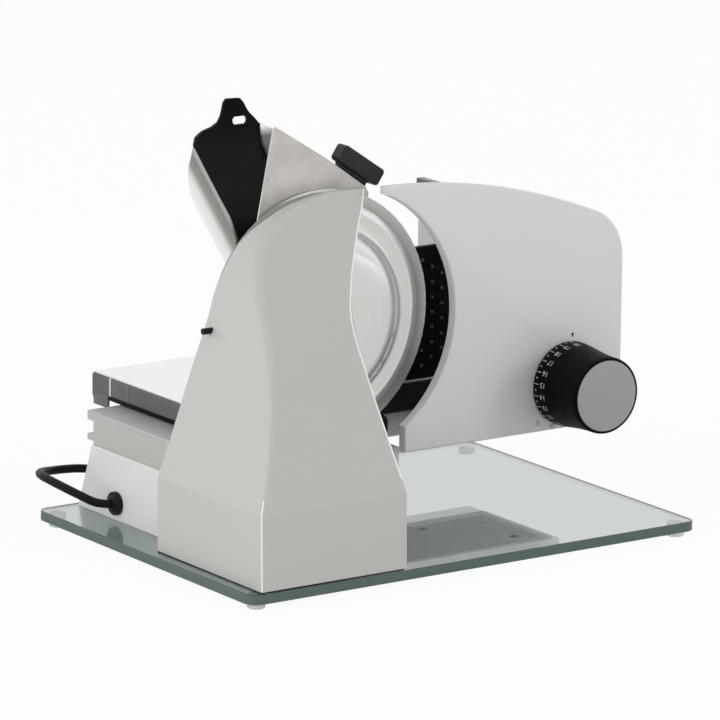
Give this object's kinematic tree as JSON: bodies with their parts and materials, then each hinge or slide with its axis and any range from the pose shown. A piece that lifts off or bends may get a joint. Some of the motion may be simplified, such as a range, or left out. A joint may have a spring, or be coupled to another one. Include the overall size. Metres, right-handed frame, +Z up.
{
  "type": "electric food slicer",
  "caption": "Electric food slicer on a glass base, with a round blade in front of a tapered motor casing, a sliding carriage and a stop plate set by a dial.",
  "frame": {"origin": "under the middle of the machine's outline without its cord, on the plane of the undersides of the feet", "axes": "+X along the blade towards the user, +Y towards the carriage side, +Z up"},
  "size_m": [0.3612, 0.266, 0.2709],
  "materials": {
    "clear_glass": "clear, green edge",
    "clear_rubber": "translucent",
    "dark_steel": "dark grey coated sheet",
    "zinc_steel": "zinc plated",
    "black_rubber": "matt",
    "casing_paint": "satin off-white paint",
    "bronze": "sintered bronze",
    "polished_steel": "polished stainless",
    "motor_iron": "laminated iron",
    "cap_metal": "cast",
    "white_plastic": "moulded",
    "grey_plastic": "moulded",
    "black_plastic": "moulded, fine grain",
    "red_plastic": "moulded",
    "satin_aluminium": "satin anodised",
    "stop_aluminium": "matt anodised",
    "brushed_steel": "brushed stainless",
    "smoked_plastic": "smoked gloss"
  },
  "bodies": {
    "base_body": {"glass_base": "clear_glass", "feet": "clear_rubber", "base_bracket": "dark_steel", "bracket_screws": "zinc_steel", "base_gasket": "black_rubber", "casing_floor": "zinc_steel", "motor_casing": "casing_paint", "side_peg": "black_rubber", "gear_plate": "zinc_steel", "gear_pillars": "zinc_steel", "spindle_bushes": "bronze", "idler_pin": "polished_steel", "motor_stator": "motor_iron", "motor_front_cap": "cap_metal", "motor_rear_cap": "cap_metal", "run_capacitor": "white_plastic", "terminal_block": "white_plastic", "switch_block": "grey_plastic", "rail_support": "casing_paint", "guide_rail": "satin_aluminium", "rail_screws": "zinc_steel", "rod_bushes": "bronze", "adjuster_bracket": "zinc_steel", "adjuster_spindle": "polished_steel", "bracket_bolts": "zinc_steel", "cover_posts": "brushed_steel", "blade_cover": "brushed_steel", "cover_screws": "zinc_steel", "cover_grip": "black_plastic", "cord_gland": "black_rubber", "cord_lead": "black_rubber", "cord_hank": "black_rubber", "cord_tie": "grey_plastic", "plug": "black_rubber", "plug_pins": "polished_steel"},
    "blade_body": {"blade": "polished_steel", "blade_spindle": "polished_steel", "blade_gear": "white_plastic", "blade_screw": "polished_steel"},
    "idler_body": {"idler_gear": "white_plastic"},
    "rotor_body": {"rotor_core": "motor_iron", "motor_shaft": "polished_steel", "motor_pinion": "polished_steel", "motor_fan": "grey_plastic"},
    "stop_body": {"stop_plate": "stop_aluminium", "stop_cover": "stop_aluminium", "stop_rivets": "satin_aluminium", "guide_rods": "polished_steel"},
    "knob_body": {"dial_knob": "black_plastic", "knob_cap": "satin_aluminium"},
    "carriage_body": {"carriage_frame": "smoked_plastic", "carriage_floor": "brushed_steel", "carriage_runner": "grey_plastic", "thumb_guard": "brushed_steel", "guard_edge": "smoked_plastic"},
    "pusher_body": {"pusher_plate": "black_plastic", "pusher_hood": "black_plastic", "pusher_shell": "brushed_steel"},
    "start_body": {"start_button": "black_plastic"},
    "lock_body": {"lock_button": "red_plastic"}
  },
  "joints": [
    {"name": "blade_spin", "type": "hinge", "parent": "base_body", "child": "blade_body", "pos_m": [-0.04225, -0.015, 0.142], "axis": [0, 1, 0], "continuous": true},
    {"name": "idler_spin", "type": "hinge", "parent": "base_body", "child": "idler_body", "pos_m": [-0.06079, -0.027, 0.13451], "axis": [0, 1, 0], "continuous": true},
    {"name": "motor_spin", "type": "hinge", "parent": "base_body", "child": "rotor_body", "pos_m": [-0.08011, -0.06, 0.12933], "axis": [0, 1, 0], "continuous": true},
    {"name": "stop_slide", "type": "slide", "parent": "base_body", "child": "stop_body", "axis": [0, 1, 0], "range_m": [0, 0.02]},
    {"name": "dial_turn", "type": "hinge", "parent": "stop_body", "child": "knob_body", "pos_m": [0.13255, -0.033, 0.0835], "axis": [0, 1, 0], "range_deg": [0, 330.01]},
    {"name": "carriage_slide", "type": "slide", "parent": "base_body", "child": "carriage_body", "axis": [1, 0, 0], "range_m": [-0.07, 0.08]},
    {"name": "pusher_slide", "type": "slide", "parent": "carriage_body", "child": "pusher_body", "axis": [0, 1, 0], "range_m": [0, 0.055]},
    {"name": "start_press", "type": "slide", "parent": "base_body", "child": "start_body", "axis": [-1, 0, 0], "range_m": [0, 0.003], "stiffness_N_per_m": 500, "springref_m": -0.002},
    {"name": "lock_press", "type": "slide", "parent": "base_body", "child": "lock_body", "axis": [-1, 0, 0], "range_m": [0, 0.003], "stiffness_N_per_m": 500, "springref_m": -0.002}
  ],
  "couplings": [
    {"joint": "idler_spin", "follows": "blade_spin", "ratio": -1.5},
    {"joint": "motor_spin", "follows": "blade_spin", "ratio": 4.5},
    {"joint": "dial_turn", "follows": "stop_slide", "rad_per_m": 287.98}
  ]
}
